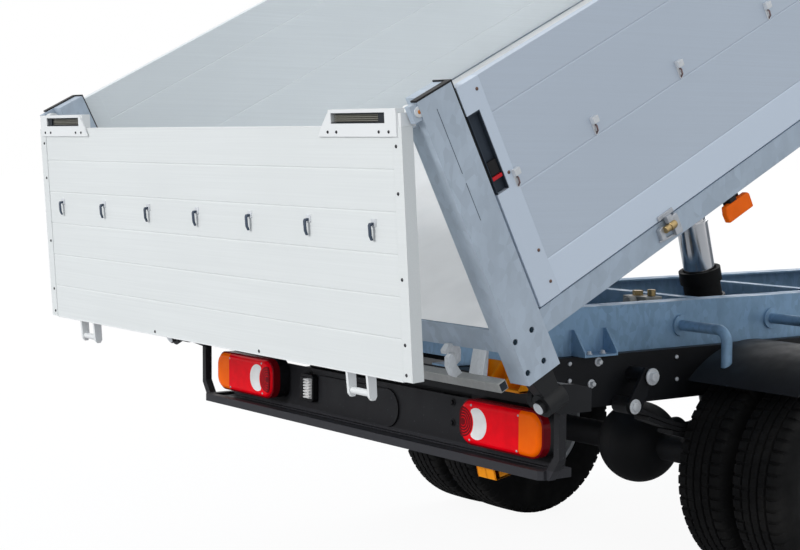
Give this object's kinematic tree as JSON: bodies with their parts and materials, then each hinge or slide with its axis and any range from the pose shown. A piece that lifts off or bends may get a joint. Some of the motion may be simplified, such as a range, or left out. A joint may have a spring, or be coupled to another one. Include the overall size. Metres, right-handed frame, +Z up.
{
  "type": "three-way tipper truck",
  "caption": "Light tipper truck with twin rear wheels; its dropside bed is raised to the rear on a telescopic ram and its tailgate hangs open.",
  "frame": {"origin": "on the ground under the middle of the vehicle's box", "axes": "+X to the vehicle's left, +Y to its rear, +Z up"},
  "size_m": [2.47, 6.1892, 3.509],
  "materials": {
    "chassis_black": "satin black paint",
    "axle_black": "black cast iron",
    "spring_steel": "black spring steel",
    "engine_metal": "cast",
    "galvanised": "hot-dip galvanised",
    "lug_black": "satin black paint",
    "lamp_red": "clear moulded lens",
    "lamp_clear": "clear moulded lens",
    "marker_orange": "clear moulded lens",
    "chock_orange": "moulded",
    "tyre": "rubber",
    "rim_silver": "silver paint",
    "cab_paint": "gloss white paint",
    "glass": "tinted",
    "trim_black": "grained",
    "interior_grey": "grained",
    "seat_cloth": "woven",
    "tank_black": "moulded",
    "bed_aluminium": "anodised",
    "gate_paint": "off-white paint",
    "ram_paint": "satin paint",
    "ram_rubber": "matt rubber",
    "chrome": "polished"
  },
  "bodies": {
    "chassis": {"chassis_frame": "chassis_black", "pivot_beam": "chassis_black", "rear_bumper": "chassis_black", "spring_hangers": "chassis_black", "leaf_springs": "spring_steel", "rear_axle": "axle_black", "drive_shaft": "axle_black", "front_suspension": "axle_black", "engine_block": "engine_metal", "subframe": "galvanised", "ram_cradle": "galvanised", "rear_lamps": "lamp_red", "wheel_chocks": "chock_orange", "cab_shell": "cab_paint", "cab_glass": "glass", "front_bumper": "trim_black", "grille": "trim_black", "steering_wheel": "trim_black", "dashboard": "interior_grey", "seats": "seat_cloth", "headlamps": "lamp_clear", "fuel_tank": "tank_black", "hydraulic_unit": "tank_black", "mudguards": "trim_black"},
    "bed": {"bed_floor": "galvanised", "headboard": "bed_aluminium", "rear_posts": "galvanised", "hinge_lugs": "lug_black", "gate_lock": "galvanised", "side_markers": "marker_orange"},
    "tailgate": {"tailgate": "gate_paint", "gate_fittings": "gate_paint"},
    "side_board_left": {"side_board_left": "bed_aluminium", "board_hinges_left": "galvanised"},
    "side_board_right": {"side_board_right": "bed_aluminium", "board_hinges_right": "galvanised"},
    "bonnet": {"bonnet": "cab_paint"},
    "door_left": {"door_left": "cab_paint", "door_glass_left": "glass", "mirror_left": "trim_black"},
    "door_right": {"door_right": "cab_paint", "door_glass_right": "glass", "mirror_right": "trim_black"},
    "knuckle_left": {"knuckle_left": "axle_black"},
    "knuckle_right": {"knuckle_right": "axle_black"},
    "front_wheel_left": {"front_tyre_left": "tyre", "front_rim_left": "rim_silver"},
    "front_wheel_right": {"front_tyre_right": "tyre", "front_rim_right": "rim_silver"},
    "rear_wheels_left": {"rear_tyres_left": "tyre", "rear_rims_left": "rim_silver"},
    "rear_wheels_right": {"rear_tyres_right": "tyre", "rear_rims_right": "rim_silver"},
    "ram_barrel": {"ram_barrel": "ram_paint"},
    "ram_stage_1": {"ram_stage_1": "ram_rubber"},
    "ram_stage_2": {"ram_stage_2": "chrome"},
    "ram_stage_3": {"ram_stage_3": "chrome"},
    "ram_stage_4": {"ram_stage_4": "chrome"},
    "ram_stage_5": {"ram_stage_5": "chrome"}
  },
  "joints": [
    {"name": "bed_tip", "type": "hinge", "parent": "chassis", "child": "bed", "pos_m": [0, 2.575, 0.715], "axis": [-1, 0, 0], "range_deg": [-26.9, 18.1]},
    {"name": "tailgate_swing", "type": "hinge", "parent": "bed", "child": "tailgate", "pos_m": [0, 3.04663, 1.44792], "axis": [1, 0, 0], "range_deg": [-23.3, 66.7]},
    {"name": "side_board_left_drop", "type": "hinge", "parent": "bed", "child": "side_board_left", "pos_m": [1.054, 2.69337, 0.91958], "axis": [0, 0.8918, -0.4524], "range_deg": [0, 175]},
    {"name": "side_board_right_drop", "type": "hinge", "parent": "bed", "child": "side_board_right", "pos_m": [-1.054, 2.69337, 0.91958], "axis": [0, -0.8918, 0.4524], "range_deg": [0, 175]},
    {"name": "ram_tilt", "type": "hinge", "parent": "chassis", "child": "ram_barrel", "pos_m": [0, 0.945, 0.56], "axis": [-1, 0, 0], "range_deg": [-13.45, 9.05]},
    {"name": "ram_stage_1_slide", "type": "slide", "parent": "ram_barrel", "child": "ram_stage_1", "axis": [0, 0.2448, 0.9696], "range_m": [-0.05515, 0.03711]},
    {"name": "ram_stage_2_slide", "type": "slide", "parent": "ram_stage_1", "child": "ram_stage_2", "axis": [0, 0.2448, 0.9696], "range_m": [-0.16779, 0.1129]},
    {"name": "ram_stage_3_slide", "type": "slide", "parent": "ram_stage_2", "child": "ram_stage_3", "axis": [0, 0.2448, 0.9696], "range_m": [-0.16779, 0.1129]},
    {"name": "ram_stage_4_slide", "type": "slide", "parent": "ram_stage_3", "child": "ram_stage_4", "axis": [0, 0.2448, 0.9696], "range_m": [-0.16779, 0.1129]},
    {"name": "ram_stage_5_slide", "type": "slide", "parent": "ram_stage_4", "child": "ram_stage_5", "axis": [0, 0.2448, 0.9696], "range_m": [-0.16779, 0.1129]},
    {"name": "bonnet_lift", "type": "hinge", "parent": "chassis", "child": "bonnet", "pos_m": [0, -2.51, 1.276], "axis": [-1, 0, 0], "range_deg": [0, 50]},
    {"name": "door_left_swing", "type": "hinge", "parent": "chassis", "child": "door_left", "pos_m": [1.037, -2.236, 1.2], "axis": [0, 0, -1], "range_deg": [0, 65]},
    {"name": "door_right_swing", "type": "hinge", "parent": "chassis", "child": "door_right", "pos_m": [-1.037, -2.236, 1.2], "axis": [0, 0, 1], "range_deg": [0, 65]},
    {"name": "steer_left", "type": "hinge", "parent": "chassis", "child": "knuckle_left", "pos_m": [0.69, -2.36, 0.345], "axis": [0, 0, 1], "range_deg": [-35, 35]},
    {"name": "steer_right", "type": "hinge", "parent": "chassis", "child": "knuckle_right", "pos_m": [-0.69, -2.36, 0.345], "axis": [0, 0, 1], "range_deg": [-35, 35]},
    {"name": "front_wheel_left_spin", "type": "hinge", "parent": "knuckle_left", "child": "front_wheel_left", "pos_m": [0.815, -2.36, 0.345], "axis": [1, 0, 0], "continuous": true},
    {"name": "front_wheel_right_spin", "type": "hinge", "parent": "knuckle_right", "child": "front_wheel_right", "pos_m": [-0.815, -2.36, 0.345], "axis": [1, 0, 0], "continuous": true},
    {"name": "rear_wheels_left_spin", "type": "hinge", "parent": "chassis", "child": "rear_wheels_left", "pos_m": [0.732, 1.32, 0.345], "axis": [1, 0, 0], "continuous": true},
    {"name": "rear_wheels_right_spin", "type": "hinge", "parent": "chassis", "child": "rear_wheels_right", "pos_m": [-0.732, 1.32, 0.345], "axis": [1, 0, 0], "continuous": true}
  ],
  "couplings": [
    {"joint": "ram_tilt", "follows": "bed_tip", "ratio": 0.5},
    {"joint": "ram_stage_1_slide", "follows": "bed_tip", "m_per_rad": 0.11746},
    {"joint": "ram_stage_2_slide", "follows": "bed_tip", "m_per_rad": 0.35738},
    {"joint": "ram_stage_3_slide", "follows": "bed_tip", "m_per_rad": 0.35738},
    {"joint": "ram_stage_4_slide", "follows": "bed_tip", "m_per_rad": 0.35738},
    {"joint": "ram_stage_5_slide", "follows": "bed_tip", "m_per_rad": 0.35738},
    {"joint": "steer_right", "follows": "steer_left", "ratio": 1}
  ]
}
